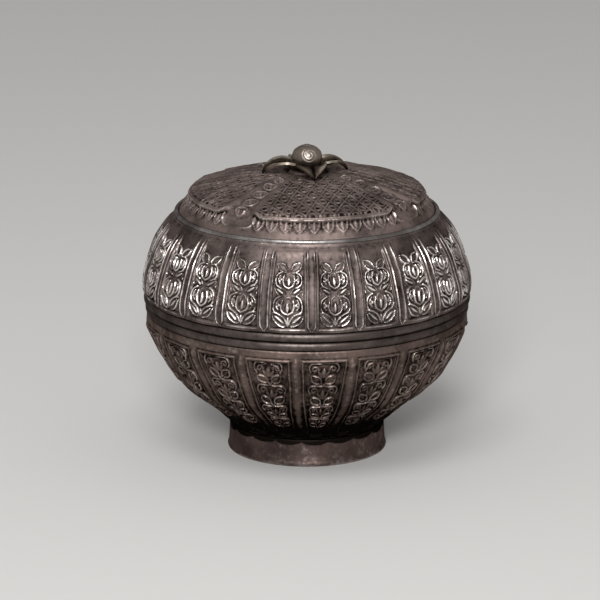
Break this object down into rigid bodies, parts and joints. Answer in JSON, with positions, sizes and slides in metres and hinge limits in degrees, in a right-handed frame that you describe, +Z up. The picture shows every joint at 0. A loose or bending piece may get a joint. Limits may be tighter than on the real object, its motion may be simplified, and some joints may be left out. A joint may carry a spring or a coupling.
{
  "type": "betel box",
  "caption": "Lobed silver betel box: a panelled bowl on a foot ring under a lift-off lid with a domed plate, a leaf calyx and a ball knob.",
  "frame": {"origin": "middle of the foot ring's underside, where the box stands", "axes": "+Z up along the box's axis to the knob; -Y towards the front of the picture, +X to its right"},
  "size_m": [0.1092, 0.1096, 0.1026],
  "materials": {
    "oxidised_silver": "chased and oxidised, polished on the high points",
    "polished_silver": "polished, worn",
    "plain_silver": "plain beaten sheet, tarnished",
    "knob_silver": "chased and rubbed bright",
    "gilt_silver": "old gilding, worn olive"
  },
  "bodies": {
    "bowl": {"foot_ring": "plain_silver", "bowl_shell": "oxidised_silver", "bowl_rim_moulding": "polished_silver", "bowl_collar": "plain_silver"},
    "lid": {"lid_shell": "oxidised_silver", "lid_rim_moulding": "polished_silver", "top_plate": "oxidised_silver", "top_plate_wire": "polished_silver", "knob_calyx": "gilt_silver", "knob_ball": "knob_silver", "knob_pin": "plain_silver", "knob_washer": "plain_silver"}
  },
  "joints": [
    {"name": "lid_lift", "type": "slide", "parent": "bowl", "child": "lid", "axis": [0, 0, 1], "range_m": [0, 0.08]}
  ]
}
